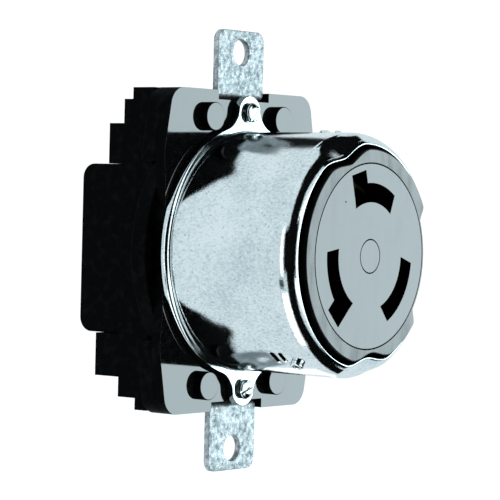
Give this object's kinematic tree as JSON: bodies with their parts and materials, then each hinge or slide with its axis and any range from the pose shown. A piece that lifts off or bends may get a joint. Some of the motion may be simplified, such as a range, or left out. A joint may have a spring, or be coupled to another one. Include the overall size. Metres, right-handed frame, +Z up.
{
  "type": "locking receptacle",
  "caption": "Flush-mounting locking power receptacle with a keyed steel shell round three curved slots, on a steel strap, with clamp terminals behind.",
  "frame": {"origin": "midway between the two mounting holes, in the rear plane of the strap's tabs, which is the box's mounting plane", "axes": "+Z up along the strap, +X to the right seen from the front, the face looks along -Y"},
  "size_m": [0.0564, 0.0601, 0.0926],
  "materials": {
    "strap_steel": "zinc plated pressed steel, satin with fine scratches",
    "shell_steel": "bright nickel plated drawn steel",
    "black_phenolic": "glossy black moulded phenolic",
    "core_phenolic": "semi gloss black moulded phenolic",
    "brass": "bare brass strip",
    "spring_steel": "plain spring steel",
    "zinc_steel": "zinc plated steel"
  },
  "bodies": {
    "receptacle": {"mounting_strap": "strap_steel", "outer_shell": "shell_steel", "shell_screw_top": "shell_steel", "shell_screw_bottom": "shell_steel", "shell_rivet": "shell_steel", "front_flange_housing": "black_phenolic", "rear_housing": "black_phenolic", "rear_cover": "black_phenolic", "contact_block": "black_phenolic", "core_ring": "core_phenolic", "face_disc": "core_phenolic", "centre_plug": "core_phenolic", "contact_top": "brass", "contact_right": "brass", "contact_left": "brass", "terminal_lug_top_right": "brass", "terminal_lug_bottom_right": "brass", "terminal_lug_bottom_left": "brass", "terminal_lug_ground": "brass", "contact_spring_top": "spring_steel", "contact_spring_right": "spring_steel", "contact_spring_left": "spring_steel", "core_screw": "spring_steel", "ground_spring": "spring_steel", "ground_rivet": "spring_steel", "ground_link": "zinc_steel", "assembly_screw_top_right": "zinc_steel", "assembly_screw_bottom_right": "zinc_steel", "assembly_screw_bottom_left": "zinc_steel", "assembly_screw_top_left": "zinc_steel"},
    "clamp_plate_top_right": {"pressure_plate_top_right": "zinc_steel"},
    "clamp_screw_top_right": {"terminal_screw_top_right": "zinc_steel"},
    "clamp_plate_bottom_right": {"pressure_plate_bottom_right": "zinc_steel"},
    "clamp_screw_bottom_right": {"terminal_screw_bottom_right": "zinc_steel"},
    "clamp_plate_bottom_left": {"pressure_plate_bottom_left": "zinc_steel"},
    "clamp_screw_bottom_left": {"terminal_screw_bottom_left": "zinc_steel"},
    "clamp_plate_ground": {"pressure_plate_ground": "zinc_steel"},
    "clamp_screw_ground": {"terminal_screw_ground": "zinc_steel"}
  },
  "joints": [
    {"name": "plate_travel_top_right", "type": "slide", "parent": "receptacle", "child": "clamp_plate_top_right", "axis": [0, 0, -1], "range_m": [0, 0.00198]},
    {"name": "screw_turn_top_right", "type": "hinge", "parent": "clamp_plate_top_right", "child": "clamp_screw_top_right", "pos_m": [0.0105, 0.0186, 0.0172], "axis": [0, 0, -1], "range_deg": [0, 900]},
    {"name": "plate_travel_bottom_right", "type": "slide", "parent": "receptacle", "child": "clamp_plate_bottom_right", "axis": [0, 0, 1], "range_m": [0, 0.00198]},
    {"name": "screw_turn_bottom_right", "type": "hinge", "parent": "clamp_plate_bottom_right", "child": "clamp_screw_bottom_right", "pos_m": [0.0105, 0.0186, -0.0172], "axis": [0, 0, 1], "range_deg": [0, 900]},
    {"name": "plate_travel_bottom_left", "type": "slide", "parent": "receptacle", "child": "clamp_plate_bottom_left", "axis": [0, 0, 1], "range_m": [0, 0.00198]},
    {"name": "screw_turn_bottom_left", "type": "hinge", "parent": "clamp_plate_bottom_left", "child": "clamp_screw_bottom_left", "pos_m": [-0.0105, 0.0186, -0.0172], "axis": [0, 0, 1], "range_deg": [0, 900]},
    {"name": "plate_travel_ground", "type": "slide", "parent": "receptacle", "child": "clamp_plate_ground", "axis": [0, 0, -1], "range_m": [0, 0.00198]},
    {"name": "screw_turn_ground", "type": "hinge", "parent": "clamp_plate_ground", "child": "clamp_screw_ground", "pos_m": [-0.0105, 0.0186, 0.0172], "axis": [0, 0, -1], "range_deg": [0, 900]}
  ],
  "couplings": [
    {"joint": "screw_turn_top_right", "follows": "plate_travel_top_right", "rad_per_m": 7913},
    {"joint": "screw_turn_bottom_right", "follows": "plate_travel_bottom_right", "rad_per_m": 7913},
    {"joint": "screw_turn_bottom_left", "follows": "plate_travel_bottom_left", "rad_per_m": 7913},
    {"joint": "screw_turn_ground", "follows": "plate_travel_ground", "rad_per_m": 7913}
  ]
}
